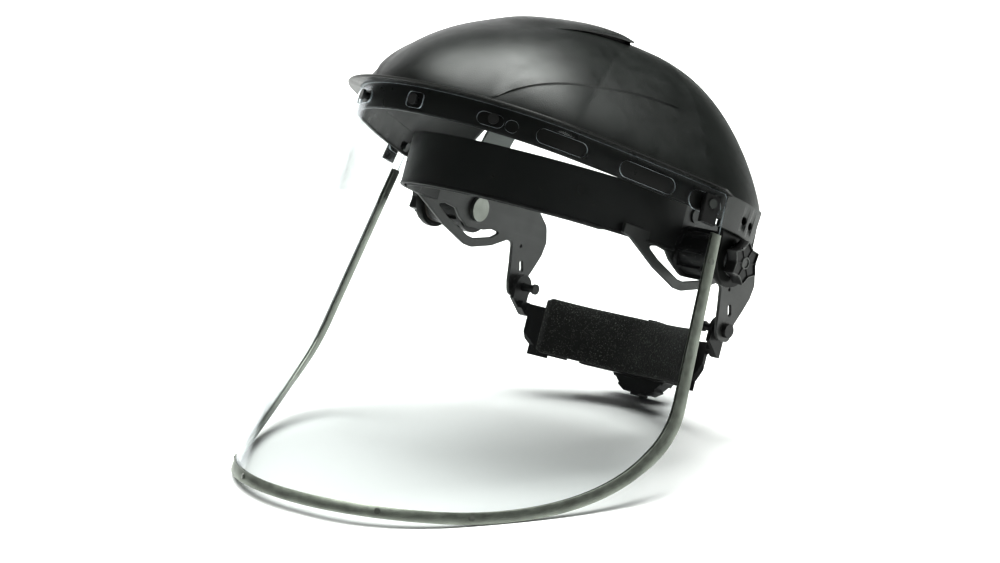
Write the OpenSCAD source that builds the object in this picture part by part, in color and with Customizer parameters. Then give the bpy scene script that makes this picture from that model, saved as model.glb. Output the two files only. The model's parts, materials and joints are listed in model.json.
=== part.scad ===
// Face shield with a domed crown, a clear curved window and a ratchet headband.
// The shield stands as it is set down on a table: on the two lower corners of
// the window and on the rim of the ratchet knob. +Z is up, the wearer faces -Y,
// and the wearer's left is +X. The origin is under the middle, on the table.

/* [Window] */
// Width of the clear sheet before it is bent
window_width = 388; // [380:1:396]
// Height of the clear sheet
window_height = 230; // [220:1:233]
// Thickness of the clear sheet
window_t = 1; // [0.8:0.1:1.2]
// Width of each rounded lower corner
corner_width = 192; // [160:1:193]
// Height of each rounded lower corner
corner_height = 111; // [90:1:120]

/* [Crown] */
// Radius of the front of the rim
rim_front_r = 86; // [84:1:88]
// Radius of the sides of the rim
rim_side_r = 530; // [480:10:600]
// Radius of the rim behind the window, where it turns inward
rim_rear_r = 95; // [90:1:105]
// Height of the dome at its rear edge
dome_height = 76; // [70:1:80]
// Wall thickness of the crown
crown_t = 2.5; // [2:0.1:3]
// How far the brim stands out over the window
brim_width = 8; // [6:0.5:9]
// Depth of the skirt that the window is pinned to
skirt_depth = 14; // [12:0.5:16]
// How far the crown leans back from level as it stands
crown_pitch = 27.5; // [27:0.1:28]

/* [Headband] */
// Half the width of the headband
band_half_width = 78; // [76:1:80]
// Half the length of the headband, from its middle to the brow
band_half_length = 105; // [100:1:110]
// Height of the brow band
band_height = 29; // [26:1:32]
// Thickness of the headband plastic
band_t = 2; // [1.6:0.1:2.4]
// How far the headband leans back from level as it stands
head_pitch = 22.3; // [22:0.1:22.6]
// Height of the tilt pivots above the table
pivot_height = 110.2; // [110:0.1:110.4]
// Distance of the tilt pivots behind the origin
pivot_back = 80.2; // [78:0.2:82]

/* [Nape] */
// Radius of the curve that both nape straps follow
strap_r = 110; // [108:1:112]
// Radius of the size knob
size_knob_r = 22; // [20:0.5:22.5]
// Height of the nape pad
nape_pad_h = 33; // [28:1:36]

/* [Tilt knobs] */
// Radius of the tips of the star on each tilt knob
star_r = 12; // [11.5:0.5:13.5]
// Number of points on the star
star_points = 6; // [5:1:8]
// Radius of the pivot bolts
bolt_r = 3; // [2.5:0.1:3.5]

/* [Hidden] */

$fn = 48;
run_gap = 0.05;          // radial clearance of everything that turns

// Rim in plan: a front arc, a side arc and a rear arc, met end to end.
front_len = 94;          // length of rim from the middle to the side arc
side_end = 180;          // length of rim from the middle to the rear arc
rim_end = 234;           // length of rim from the middle to its rear end
front_turn = front_len / rim_front_r * 180 / PI;
side_turn = (side_end - front_len) / rim_side_r * 180 / PI;
flare_front = -2.2;      // lean of the window at the middle, degrees
flare_side = 7.8;        // lean of the window at the sides, degrees
flare_power = 1.4;       // how late the lean builds up towards the sides

// Where the crown turns on the headband, in the crown's own frame.
crown_pivot_y = 168;
crown_pivot_z = -30;
skirt_gap = 1.5;         // distance of the skirt inside the middle of the window
ear_in = 105;            // inner face of the crown's pivot ears
ear_out = 109;           // outer face of the crown's pivot ears

half_width = window_width / 2;
sheet_columns = 44;
sheet_rows = 6;
binding_top = 23;        // distance of the binding's ends below the sheet's top
binding_width = 6.4;
binding_t = 2.5;
latch_s = 182;           // place of the latches along the rim
latch_d = 9.5;           // depth of the latch pins below the sheet's top
stud_places = [-48, 0, 48];
stud_d = 7.5;            // depth of the window studs below the sheet's top

band_centre_y = -20;     // middle of the headband ellipse behind the pivots
band_low = -2.5;         // lower edge of the brow band
plate_out = 77;          // outer face of the side plates
hub_out = 103.4;         // outer face of the pivot hubs
hub_r = 13;
knob_in = 110;           // inner face of the tilt knobs
knob_out = 117.5;        // outer face of the tilt knobs
star_dip = 9;            // radius of the hollows between the points of the star
star_phase = 37;         // angle of the first point, degrees
strap_y = -1;            // middle of the overhead straps behind the pivots
strap_w = 24;
rivet_z = 20;            // height of the rivets that hold the overhead straps
pin_y = 52;              // nape pins, behind and below the tilt pivots
pin_z = -35;
pin_r = 2.2;
arc_y = -32;             // centre of the nape curve
nape_z = -58;            // height of the ratchet's axis
pinion_pitch_r = 5;
pinion_teeth = 10;

function plan_turn(s) = let (a = abs(s)) sign(s) * (a < front_len ? a / front_len * front_turn
    : a < side_end ? front_turn + (a - front_len) / rim_side_r * 180 / PI
    : front_turn + side_turn + (a - side_end) / rim_rear_r * 180 / PI);
function arc_step(p, r, t0, t1) = [p[0] + r * (sin(t1) - sin(t0)), p[1] + r * (cos(t0) - cos(t1))];
front_corner = arc_step([0, 0], rim_front_r, 0, front_turn);
side_corner = arc_step(front_corner, rim_side_r, front_turn, front_turn + side_turn);
function plan_right(a) = a < front_len ? arc_step([0, 0], rim_front_r, 0, plan_turn(a))
    : a < side_end ? arc_step(front_corner, rim_side_r, front_turn, plan_turn(a))
    : arc_step(side_corner, rim_rear_r, front_turn + side_turn, plan_turn(a));
// Point of the rim at length s from the middle, moved outward by the offset.
function plan_point(s, offset) = let (p = plan_right(abs(s)), t = plan_turn(abs(s)))
    [(p[0] + offset * sin(t)) * (s < 0 ? -1 : 1), p[1] - offset * cos(t)];
function flare(s) = flare_front
    + (flare_side - flare_front) * pow(min(1, abs(s) / half_width), flare_power);
// Point of the window at length s and depth d, on a face at the offset.
function sheet_point(s, d, offset) = let (p = plan_point(s, offset + d * sin(flare(s))))
    [p[0], p[1], -d * cos(flare(s))];
// Depth of the window's lower edge at length s.
function sheet_depth(s) = let (u = max(0, abs(s) - (half_width - corner_width)) / corner_width)
    window_height - corner_height * (1 - sqrt(max(0, 1 - u * u)));
function steps(from, to, n) = [for (i = [0:n]) from + (to - from) * i / n];

module crown_frame() {
    translate([0, pivot_back, pivot_height]) rotate([-crown_pitch, 0, 0])
        translate([0, -crown_pivot_y, -crown_pivot_z]) children();
}
module head_frame() {
    translate([0, pivot_back, pivot_height]) rotate([-head_pitch, 0, 0]) children();
}
module both_sides() {
    children();
    mirror([1, 0, 0]) children();
}
// Puts its children on the window at length s and depth d, with +X outward and +Z up the sheet.
module on_sheet(s, d) {
    translate(sheet_point(s, d, 0)) rotate([0, 0, plan_turn(s) - 90]) rotate([0, -flare(s), 0])
        children();
}
module x_cylinder(r, from, to) {
    translate([from, 0, 0]) rotate([0, 90, 0]) cylinder(r = r, h = to - from);
}
module y_cylinder(r, from, to) {
    translate([0, from, 0]) rotate([-90, 0, 0]) cylinder(r = r, h = to - from);
}
module x_plate(from, to) {
    translate([from, 0, 0]) rotate([90, 0, 90]) linear_extrude(to - from) children();
}
module rim_band(inner, outer, end, low, high) {
    s_list = steps(-end, end, 56);
    translate([0, 0, low]) linear_extrude(high - low)
        polygon(concat([for (s = s_list) plan_point(s, outer)],
            [for (i = [len(s_list) - 1:-1:0]) plan_point(s_list[i], inner)]));
}
// Closed skin between two grids of points, rows by columns.
module skin(outer, inner) {
    rows = len(outer);
    cols = len(outer[0]);
    n = rows * cols;
    function at(r, c) = r * cols + c;
    function quad(a, b, c, d) = [[a, b, c], [a, c, d]];
    faces = concat(
        [for (r = [0:rows - 2], c = [0:cols - 2])
            each quad(at(r, c), at(r + 1, c), at(r + 1, c + 1), at(r, c + 1))],
        [for (r = [0:rows - 2], c = [0:cols - 2])
            each quad(n + at(r, c), n + at(r, c + 1), n + at(r + 1, c + 1), n + at(r + 1, c))],
        [for (c = [0:cols - 2])
            each quad(at(0, c), at(0, c + 1), n + at(0, c + 1), n + at(0, c))],
        [for (c = [0:cols - 2]) each quad(at(rows - 1, c), n + at(rows - 1, c),
            n + at(rows - 1, c + 1), at(rows - 1, c + 1))],
        [for (r = [0:rows - 2]) each quad(at(r, 0), n + at(r, 0), n + at(r + 1, 0), at(r + 1, 0))],
        [for (r = [0:rows - 2]) each quad(at(r, cols - 1), at(r + 1, cols - 1),
            n + at(r + 1, cols - 1), n + at(r, cols - 1))]);
    polyhedron(points = concat([for (row = outer) each row], [for (row = inner) each row]),
        faces = faces);
}

// Crown: the dome rises from the rim to its open rear edge.
function dome_point(s, lift, inset) = let (
    side = pow(sin(plan_turn(s) * 0.93), 2),
    base = plan_point(s, -1 - inset - 1.5 * pow(abs(s) / rim_end, 2)),
    top_y = 168,
    power = 1 + 0.75 * side)
    [base[0] * cos(lift), top_y + (base[1] - top_y) * cos(lift),
        (dome_height - inset) * pow(sin(lift), power)];
module dome() {
    s_list = steps(-rim_end, rim_end, 36);
    lifts = [0, 8, 18, 29, 41, 54, 67, 79, 89];
    skin([for (a = lifts) [for (s = s_list) dome_point(s, a, 0)]],
        [for (a = lifts) [for (s = s_list) dome_point(s, a, crown_t)]]);
}
module spine() {
    along = steps(60, 136, 9);
    function ridge_z(y) = dome_height * sqrt(max(0, 1 - pow((168 - y) / 169, 2)));
    rotate([90, 0, 90]) translate([0, 0, -24]) linear_extrude(48)
        polygon(concat([for (y = along) [y, ridge_z(y) + 0.5 + 3 * (y - 60) / 76]],
            [for (i = [len(along) - 1:-1:0]) [along[i], ridge_z(along[i]) - 5.5]]));
}
module pivot_ear() {
    x_plate(ear_in, ear_out) {
        translate([crown_pivot_y, crown_pivot_z]) circle(15);
        polygon([[crown_pivot_y - 15, crown_pivot_z], [crown_pivot_y + 15, crown_pivot_z],
            [crown_pivot_y + 10, 0], [crown_pivot_y - 24, 0]]);
    }
}
module crown_shell() color("#232624") crown_frame() difference() {
    union() {
        dome();
        rim_band(-4, brim_width, 190, 0, 2);
        rim_band(-skirt_gap - crown_t, -skirt_gap, rim_end, -skirt_depth, 1);
        spine();
        both_sides() pivot_ear();
    }
    translate([0, crown_pivot_y, crown_pivot_z]) x_cylinder(bolt_r + run_gap, -120, 120);
    both_sides() on_sheet(218, 9) translate([-8, -5, -2.5]) cube([14, 10, 4]);
    both_sides() on_sheet(latch_s, latch_d) x_cylinder(1.5, -8, 4);
    for (s = stud_places) on_sheet(s, stud_d) x_cylinder(2, -8, 4);
}

// Window: a bent sheet with mounting slots along its top edge.
module slot_cutter(length, height) {
    for (side = [-1, 1]) translate([0, side * (length - height) / 2, 0])
        x_cylinder(height / 2, -6, 6);
    translate([-6, -(length - height) / 2, -height / 2]) cube([12, length - height, height]);
}
module window_slots() {
    on_sheet(0, stud_d) slot_cutter(11, 8.5);
    for (side = [-1, 1]) {
        on_sheet(side * 50, 8) slot_cutter(23, 7);
        on_sheet(side * 87, 8) slot_cutter(30, 8);
        on_sheet(side * 141, 8.5) slot_cutter(36, 9);
        on_sheet(side * 180, latch_d) slot_cutter(22, 11);
    }
}
module window_sheet() {
    top_edge = 0.2;
    s_list = [for (i = [0:sheet_columns]) half_width * sin((i / sheet_columns * 2 - 1) * 90)];
    function face(offset) = [for (r = [0:sheet_rows]) [for (s = s_list)
        sheet_point(s, top_edge + (sheet_depth(s) - top_edge) * r / sheet_rows, offset)]];
    skin(face(window_t / 2), face(-window_t / 2));
}
module window() color("#dfe8ea", 0.3) crown_frame() difference() {
    window_sheet();
    window_slots();
}

// Edge binding: a folded aluminium channel round the sides and bottom.
function corner_at(t) = [half_width - corner_width + corner_width * cos(t),
    window_height - corner_height + corner_height * sin(t)];
function corner_inward(t) = let (n = [corner_height * cos(t), corner_width * sin(t)]) -n / norm(n);
side_run = [for (d = steps(binding_top, window_height - corner_height, 6))
    [half_width, d, -1, 0]];
corner_run = [for (t = steps(6, 90, 22)) let (p = corner_at(t), n = corner_inward(t))
    [p[0], p[1], n[0], n[1]]];
right_run = concat(side_run, corner_run);
binding_run = concat(right_run,
    [for (i = [len(right_run) - 1:-1:0]) let (q = right_run[i]) [-q[0], q[1], -q[2], q[3]]]);
module edge_binding() color("#7c8079") crown_frame() {
    gap = window_t / 2;
    half_t = binding_t / 2;
    inner = binding_width - 1;
    section = [[inner, -half_t], [-1, -half_t], [-1, half_t], [inner, half_t],
        [inner, gap], [0, gap], [0, -gap], [inner, -gap]];
    n = len(section);
    rings = len(binding_run);
    points = [for (q = binding_run, k = section)
        sheet_point(q[0] + q[2] * k[0], q[1] + q[3] * k[0], k[1])];
    faces = concat(
        [for (r = [0:rings - 2], k = [0:n - 1]) let (k2 = (k + 1) % n)
            each [[r * n + k, r * n + k2, (r + 1) * n + k2],
                [r * n + k, (r + 1) * n + k2, (r + 1) * n + k]]],
        [[for (k = [n - 1:-1:0]) k]],
        [[for (k = [0:n - 1]) (rings - 1) * n + k]]);
    polyhedron(points = points, faces = faces);
}
module edge_rivet(q) {
    on_sheet(q[0] + q[2] * 2.6, q[1] + q[3] * 2.6) {
        x_cylinder(0.9, -2, 2);
        both_sides() x_cylinder(1.7, binding_t / 2, 1.9);
    }
}
module binding_rivets() color("#5b5e59") crown_frame() {
    for (q = [right_run[1], right_run[21], right_run[25]]) {
        edge_rivet(q);
        edge_rivet([-q[0], q[1], -q[2], q[3]]);
    }
}
module window_studs() color("#1c1d1c") crown_frame() {
    for (s = stud_places) on_sheet(s, stud_d) {
        x_cylinder(2, -3.9, 1.2);
        x_cylinder(2.9, 0.9, 2.6);
    }
}
module latch_pins() color("#3a3c3b") crown_frame() {
    both_sides() on_sheet(latch_s, latch_d) {
        x_cylinder(1.5, -5, 4.1);
        x_cylinder(2.6, 4.1, 5);
        x_cylinder(2.6, -5.8, -4.4);
    }
}
module latch() {
    on_sheet(latch_s, latch_d) difference() {
        union() {
            x_cylinder(4, -0.7, 1.5);
            translate([0.8, -4.8, -11]) cube([3.2, 9.6, 15.8]);
        }
        x_cylinder(1.5 + run_gap, -4, 6);
    }
}
module latch_left() color("#1b1c1b") crown_frame() latch();
module latch_right() color("#1b1c1b") crown_frame() mirror([1, 0, 0]) latch();

// Tilt pivots: hub, bolt, washers and star knob on each side.
function star_radius(i) = let (u = abs((i % 10) / 5 - 1))
    star_dip + (star_r - star_dip) * pow(u, 1.8);
module tilt_knob() difference() {
    x_plate(knob_in, knob_out) rotate(star_phase)
        polygon([for (i = [0:star_points * 10 - 1]) let (a = i * 36 / star_points)
            star_radius(i) * [cos(a), sin(a)]]);
    x_cylinder(5, knob_in + 0.5, knob_out - 0.7);
    x_cylinder(6.5, knob_out - 0.7, knob_out + 1);
    x_cylinder(bolt_r + 0.5, knob_in - 1, knob_in + 1);
}
module knob_insert() difference() {
    x_cylinder(5, knob_in + 0.5, knob_out - 1);
    x_cylinder(bolt_r + run_gap, knob_in, knob_out);
}
module tilt_knob_left() color("#1d1e1d") head_frame() tilt_knob();
module tilt_knob_right() color("#1d1e1d") head_frame() mirror([1, 0, 0]) tilt_knob();
module knob_insert_left() color("#b08d4a") head_frame() knob_insert();
module knob_insert_right() color("#b08d4a") head_frame() mirror([1, 0, 0]) knob_insert();
module knob_washers() color("#8b8e8c") crown_frame()
    translate([0, crown_pivot_y, crown_pivot_z]) both_sides() difference() {
        x_cylinder(9, ear_out, knob_in);
        x_cylinder(bolt_r + run_gap, 108, 111);
    }
module friction_washers() color("#33302c") head_frame() both_sides() difference() {
    x_cylinder(12, hub_out, ear_in);
    x_cylinder(bolt_r + run_gap, 100, 108);
}
module pivot_hub() difference() {
    union() {
        x_cylinder(hub_r + 1, plate_out, 80);
        x_cylinder(hub_r - 1, 80, hub_out);
        for (i = [0:7]) rotate([i * 45, 0, 0]) translate([79, hub_r - 2, -1]) cube([16, 3, 2]);
    }
    x_cylinder(bolt_r + run_gap, 70, 110);
}
module pivot_hub_left() color("#202220") head_frame() pivot_hub();
module pivot_hub_right() color("#202220") head_frame() mirror([1, 0, 0]) pivot_hub();
module pivot_bolt() {
    x_cylinder(bolt_r, 74, knob_out - 1);
    x_cylinder(7, 72.6, plate_out - band_t);
    translate([plate_out - band_t, -3, -3]) cube([band_t, 6, 6]);
}
module pivot_bolt_left() color("#a3a6a6") head_frame() pivot_bolt();
module pivot_bolt_right() color("#a3a6a6") head_frame() mirror([1, 0, 0]) pivot_bolt();

// Headband: brow band, side plates, arms and struts in one moulding.
function band_point(a, inset) = [(band_half_width - inset) * sin(a),
    band_centre_y - (band_half_length - inset) * cos(a)];
module brow_ring(from, to, end, low, high) {
    angles = steps(-end, end, 44);
    translate([0, 0, low]) linear_extrude(high - low)
        polygon(concat([for (a = angles) band_point(a, from)],
            [for (i = [len(angles) - 1:-1:0]) band_point(angles[i], to)]));
}
module bar(p, q, r) {
    d = q - p;
    side = [-d[1], d[0]] / norm(d) * r;
    polygon([p + side, q + side, q - side, p - side]);
    translate(p) circle(r);
    translate(q) circle(r);
}
module side_plate() x_plate(plate_out - band_t, plate_out) difference() {
    union() {
        circle(hub_r + 1);
        polygon([[-32, band_low], [-8, band_low - 6], [14, 12], [14, rivet_z + 5],
            [-12, band_low + band_height], [-32, band_low + band_height]]);
        polygon([[-6, 22], [30, 17], [58, 9], [66, 0], [67, -10], [63, -20], [57, -31],
            [44, -36], [40, -18], [34, -8], [10, -12]]);
        translate([pin_y, pin_z]) circle(7);
        bar([-44, 0], [-26, -12], 2.6);
        bar([-26, -12], [2, -19], 2.6);
        bar([2, -19], [30, -9], 2.6);
        polygon([[-50, band_low + 3], [-30, band_low + 3], [-30, -2], [-47, -6]]);
    }
    square([6, 6], center = true);
    translate([pin_y, pin_z]) circle(pin_r + run_gap);
    translate([46, -12]) circle(1.6);
    translate([57, -24]) circle(1.6);
    translate([52, -19]) square([3, 6], center = true);
    translate([-9, 1]) square([3, 9], center = true);
}
module headband() color("#252725") head_frame() difference() {
    union() {
        brow_ring(0, band_t, 88, band_low, band_low + band_height);
        both_sides() translate([plate_out - band_t, band_centre_y - 12, band_low])
            cube([band_t, 12, band_height]);
        both_sides() side_plate();
    }
    for (a = [-52, 52]) translate(concat(band_point(a, 1), [band_height / 2]))
        rotate([0, 0, a - 90]) x_cylinder(1.5, -4, 4);
    both_sides() translate([0, strap_y, rivet_z]) x_cylinder(2, 70, 80);
}
module brow_pad() color("#1b1c1c") head_frame()
    brow_ring(band_t + 0.3, band_t + 5, 66, band_low - 1, band_low + band_height - 0.5);
module band_rivets() color("#4a4d4b") head_frame()
    for (a = [-52, 52]) translate(concat(band_point(a, 1), [band_height / 2]))
        rotate([0, 0, a - 90]) {
            x_cylinder(1.5, -1, 1);
            x_cylinder(2.6, 1, 1.8);
        }

// Overhead straps: two halves that lap over the head and are buttoned together.
function arch_point(a, r, sink) = [r * cos(a), 30 + (r - 22 - sink) * sin(a)];
module overhead_half(sink) difference() {
    angles = steps(0, 108, 26);
    r = plate_out - band_t - 0.2;
    union() {
        translate([0, strap_y + strap_w / 2, 0]) rotate([90, 0, 0]) linear_extrude(strap_w)
            polygon(concat([for (a = angles) arch_point(a, r, sink)],
                [for (i = [len(angles) - 1:-1:0]) arch_point(angles[i], r - 1.4, sink)]));
        translate([r - 1.4, strap_y - strap_w / 2, rivet_z - 5.5]) cube([1.4, strap_w, 15.6]);
    }
    translate([0, strap_y, rivet_z]) x_cylinder(2.1, 60, 80);
    for (x = [0, 8, 16]) translate([x, strap_y, 30]) cylinder(r = 2.6, h = 60);
}
module overhead_strap_left() color("#6a6f6b") head_frame() overhead_half(0);
module overhead_strap_right() color("#6a6f6b") head_frame()
    mirror([1, 0, 0]) overhead_half(1.6);
module overhead_button() color("#3a3d3b") head_frame() {
    translate([0, strap_y, 78.6]) cylinder(r = 2.5, h = 5);
    translate([0, strap_y, 83]) cylinder(r = 6, h = 1.6);
    translate([0, strap_y, 78.4]) cylinder(r = 5, h = 1);
    both_sides() translate([0, strap_y, rivet_z]) {
        x_cylinder(2, 73, plate_out);
        x_cylinder(4, 72, 73.2);
        x_cylinder(4, plate_out, plate_out + 1);
    }
}

// Nape: straps, pins, ratchet and pad.
module arc_block(r0, r1, from, to, low, high) {
    translate([0, arc_y, low]) rotate([0, 0, 90 - to]) rotate_extrude(angle = to - from, $fn = 120)
        translate([r0, 0]) square([r1 - r0, high - low]);
}
module nape_pins() color("#2b2d2b") head_frame() both_sides() translate([0, pin_y, pin_z]) {
    x_cylinder(pin_r, 62.5, plate_out + 1);
    x_cylinder(4, plate_out + 0.1, plate_out + 2.6);
    x_cylinder(3, 61, 62.5);
}
// Strap half: an ear on the nape pin, an end plate and a toothed tongue.
module nape_strap(r, edge) {
    rack_z = nape_z + edge * pinion_pitch_r;
    pitch = 360 / pinion_teeth * pinion_pitch_r / r;
    plate_low = nape_z - 14;
    difference() {
        union() {
            translate([0, pin_y, pin_z]) x_cylinder(7, 70.3, 72.8);
            translate([70.3, pin_y - 7, plate_low]) cube([2.5, 13, pin_z - plate_low]);
            arc_block(r - 1, r + 1, -7.5, 39, plate_low + 0.4, nape_z + 14.6);
            translate([67.5, pin_y - 1, plate_low]) cube([3, 7, 29]);
        }
        arc_block(r - 3, r + 3, -9, 22, nape_z + 8.6, nape_z + 20);
        arc_block(r - 3, r + 3, -9, 22, nape_z - 20, nape_z - 8.6);
        arc_block(r - 3.1, r + 3.1, 20, 28, nape_z + 12, nape_z + 20.1);
        arc_block(r - 3.1, r + 3.1, 20, 28, nape_z - 20.1, nape_z - 12);
        translate([0, pin_y, pin_z]) x_cylinder(pin_r + 0.3, 60, 80);
        arc_block(r - 3, r + 3, -6, 12, nape_z - 6.3, nape_z + 6.3);
        x_plate(55, 80) polygon([[30, -80], [60.7, -80], [60.7, -66], [44, -42], [30, -42]]);
        x_plate(66, 80) polygon([[30, -80], [70, -80], [70, -53], [56, -50.5], [44, -42]]);
    }
    translate([0, arc_y, rack_z]) for (i = [-3:6]) rotate([0, 0, -(i + 0.5) * pitch])
        translate([0, r + 0.9, 0]) rotate([90, 0, 0]) linear_extrude(1.8)
            polygon([[-0.9, edge * 1.8], [0.9, edge * 1.8], [0.35, -edge], [-0.35, -edge]]);
}
module nape_strap_left() color("#1e201e") head_frame() nape_strap(strap_r - 1.2, 1);
module nape_strap_right() color("#1e201e") head_frame()
    mirror([1, 0, 0]) nape_strap(strap_r + 1.2, -1);
module ratchet_housing() color("#1a1b1a") head_frame() difference() {
    arc_block(strap_r - 4.6, strap_r + 4, -17, 17, nape_z - 12, nape_z + 12);
    arc_block(strap_r - 2.6, strap_r + 2.6, -18, 18, nape_z - 9, nape_z + 9);
    translate([0, 0, nape_z]) y_cylinder(6.4, arc_y + strap_r, arc_y + strap_r + 6);
    translate([0, 0, nape_z]) y_cylinder(2.5 + run_gap, arc_y + strap_r - 3.9, arc_y + strap_r);
}
module ratchet_cover() color("#1a1b1a") head_frame() difference() {
    union() {
        arc_block(strap_r + 4, strap_r + 6, -17, 17, nape_z - 12, nape_z + 12);
        translate([0, 0, nape_z]) y_cylinder(11.5, arc_y + strap_r + 4.4, arc_y + strap_r + 8);
    }
    translate([0, 0, nape_z]) y_cylinder(4 + run_gap, arc_y + strap_r, arc_y + strap_r + 12);
    translate([0, 0, nape_z]) y_cylinder(9, arc_y + strap_r + 6.4, arc_y + strap_r + 12);
}
module housing_screws() color("#777a78") head_frame() for (a = [-13.5, 13.5], z = [-10.4, 10.4])
    translate([0, arc_y, nape_z + z]) rotate([0, 0, -a]) {
        y_cylinder(0.9, strap_r + 2.8, strap_r + 6);
        y_cylinder(1.5, strap_r + 6, strap_r + 6.8);
    }
module ratchet_pinion() color("#3b3d3c") head_frame() translate([0, 0, nape_z]) {
    gear_y = arc_y + strap_r - 2.3;
    y_cylinder(2.5, gear_y - 1.4, gear_y);
    translate([0, gear_y + 4.6, 0]) rotate([90, 0, 0]) linear_extrude(4.6) {
        circle(3.6);
        for (i = [0:pinion_teeth - 1]) rotate(i * 360 / pinion_teeth)
            polygon([[-0.85, 3], [0.85, 3], [0.3, 5.8], [-0.3, 5.8]]);
    }
    y_cylinder(4, gear_y + 4.6, arc_y + strap_r + 8.4);
    translate([-2.5, arc_y + strap_r + 8.4, -2.5]) cube([5, 5, 5]);
}
module detent_spring() color("#9a9c9a") head_frame() translate([0, 0, nape_z]) difference() {
    y_cylinder(8.6, arc_y + strap_r + 6.6, arc_y + strap_r + 7.4);
    y_cylinder(6.6, arc_y + strap_r + 6, arc_y + strap_r + 8);
}
module size_knob() color("#1b1c1b") head_frame() translate([0, 0, nape_z]) difference() {
    knob_y = arc_y + strap_r + 8.4;
    union() {
        y_cylinder(size_knob_r - 1, knob_y, knob_y + 9);
        for (i = [0:11]) rotate([0, i * 30, 0]) translate([-3, knob_y, size_knob_r - 3])
            cube([6, 9, 3]);
    }
    translate([-2.5, knob_y - 1, -2.5]) cube([5, 6, 5]);
    y_cylinder(1.6, knob_y, knob_y + 10);
    y_cylinder(3.4, knob_y + 7.4, knob_y + 10);
}
module knob_screw() color("#85888a") head_frame() translate([0, 0, nape_z]) {
    y_cylinder(3.2, arc_y + strap_r + 15.9, arc_y + strap_r + 17.2);
    y_cylinder(1.5, arc_y + strap_r + 13.4, arc_y + strap_r + 16);
}
module nape_pad() color("#30322f") head_frame()
    arc_block(strap_r - 11, strap_r - 4.6, -32, 32, nape_z + 4.5 - nape_pad_h / 2,
        nape_z + 4.5 + nape_pad_h / 2);

crown_shell();
window();
edge_binding();
binding_rivets();
window_studs();
latch_pins();
latch_left();
latch_right();
knob_washers();
tilt_knob_left();
tilt_knob_right();
knob_insert_left();
knob_insert_right();
headband();
brow_pad();
pivot_hub_left();
pivot_hub_right();
pivot_bolt_left();
pivot_bolt_right();
friction_washers();
overhead_strap_left();
overhead_strap_right();
overhead_button();
band_rivets();
nape_pins();
nape_strap_left();
nape_strap_right();
ratchet_housing();
ratchet_cover();
nape_pad();
housing_screws();
size_knob();
ratchet_pinion();
detent_spring();
knob_screw();
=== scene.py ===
import json
import math

import bmesh
import bpy
import numpy as np
from mathutils import Matrix, Vector
from mathutils.geometry import delaunay_2d_cdt


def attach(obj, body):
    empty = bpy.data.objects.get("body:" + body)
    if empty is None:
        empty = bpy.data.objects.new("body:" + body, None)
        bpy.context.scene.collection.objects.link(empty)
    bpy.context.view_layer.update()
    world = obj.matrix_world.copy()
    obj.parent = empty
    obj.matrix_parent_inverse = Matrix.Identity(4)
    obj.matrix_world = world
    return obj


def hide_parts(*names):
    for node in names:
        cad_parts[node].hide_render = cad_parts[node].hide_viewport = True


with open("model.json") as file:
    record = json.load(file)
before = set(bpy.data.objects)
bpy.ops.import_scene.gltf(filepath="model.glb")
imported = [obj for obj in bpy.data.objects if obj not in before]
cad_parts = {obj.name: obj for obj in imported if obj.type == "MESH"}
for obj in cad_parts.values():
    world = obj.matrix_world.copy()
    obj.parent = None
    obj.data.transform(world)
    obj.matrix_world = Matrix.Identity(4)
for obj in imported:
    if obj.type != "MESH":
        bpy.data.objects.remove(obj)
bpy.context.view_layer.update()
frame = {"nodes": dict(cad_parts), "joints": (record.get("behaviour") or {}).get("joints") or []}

# ---------------------------------------------------------------- frames
# Shapes are given in millimetres in one of two tilted frames and placed by a matrix.
# Crown frame: origin at the front middle of the rim. Head frame: origin on the tilt axis.
MM = 0.001
JOINTS = {j["name"]: j for j in frame["joints"]}
PIVOT = Vector(JOINTS["visor_tilt"]["pos_m"])
SLIDE = JOINTS["nape_slide"]["axis"]
HEAD_PITCH = math.atan2(SLIDE[2], -SLIDE[1])
CROWN_PITCH = math.radians(27.5)
CROWN_PIVOT = Vector((0, 168, -30))


def tilted(pitch, pivot):
    """Matrix of a frame in millimetres whose point `pivot` lies on the tilt axis."""
    return (Matrix.Translation(PIVOT) @ Matrix.Rotation(-pitch, 4, "X")
            @ Matrix.Scale(MM, 4) @ Matrix.Translation(-pivot))


CROWN = tilted(CROWN_PITCH, CROWN_PIVOT)
HEAD = tilted(HEAD_PITCH, Vector((0, 0, 0)))
MIRROR = Matrix.Scale(-1, 4, (1, 0, 0))

# ---------------------------------------------------------------- rim and window formulas, mm
# The rim is three arcs a side, given by their radii and by the lengths where they end.
R_FRONT, R_SIDE, R_REAR = 86, 530, 95
S_FRONT, S_SIDE, S_END = 94, 180, 234
TURN_FRONT = S_FRONT / R_FRONT
TURN_SIDE = (S_SIDE - S_FRONT) / R_SIDE
FLARE_FRONT, FLARE_SIDE, FLARE_POWER = math.radians(-2.2), math.radians(7.8), 1.4
HALF_WIDTH, SHEET_H, SHEET_T = 194, 230, 1.0
CORNER_W, CORNER_H = 192, 111
DOME_H, DOME_BACK = 76, 168
CROWN_T = 2.5


def turn(s):
    """Angle that the rim has turned through at length s from the middle."""
    a = abs(s)
    if a < S_FRONT:
        t = a / R_FRONT
    elif a < S_SIDE:
        t = TURN_FRONT + (a - S_FRONT) / R_SIDE
    else:
        t = TURN_FRONT + TURN_SIDE + (a - S_SIDE) / R_REAR
    return math.copysign(t, s)


def arc_step(p, r, t0, t1):
    """End of an arc of the rim that starts at p and turns from t0 to t1."""
    return (p[0] + r * (math.sin(t1) - math.sin(t0)), p[1] + r * (math.cos(t0) - math.cos(t1)))


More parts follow.
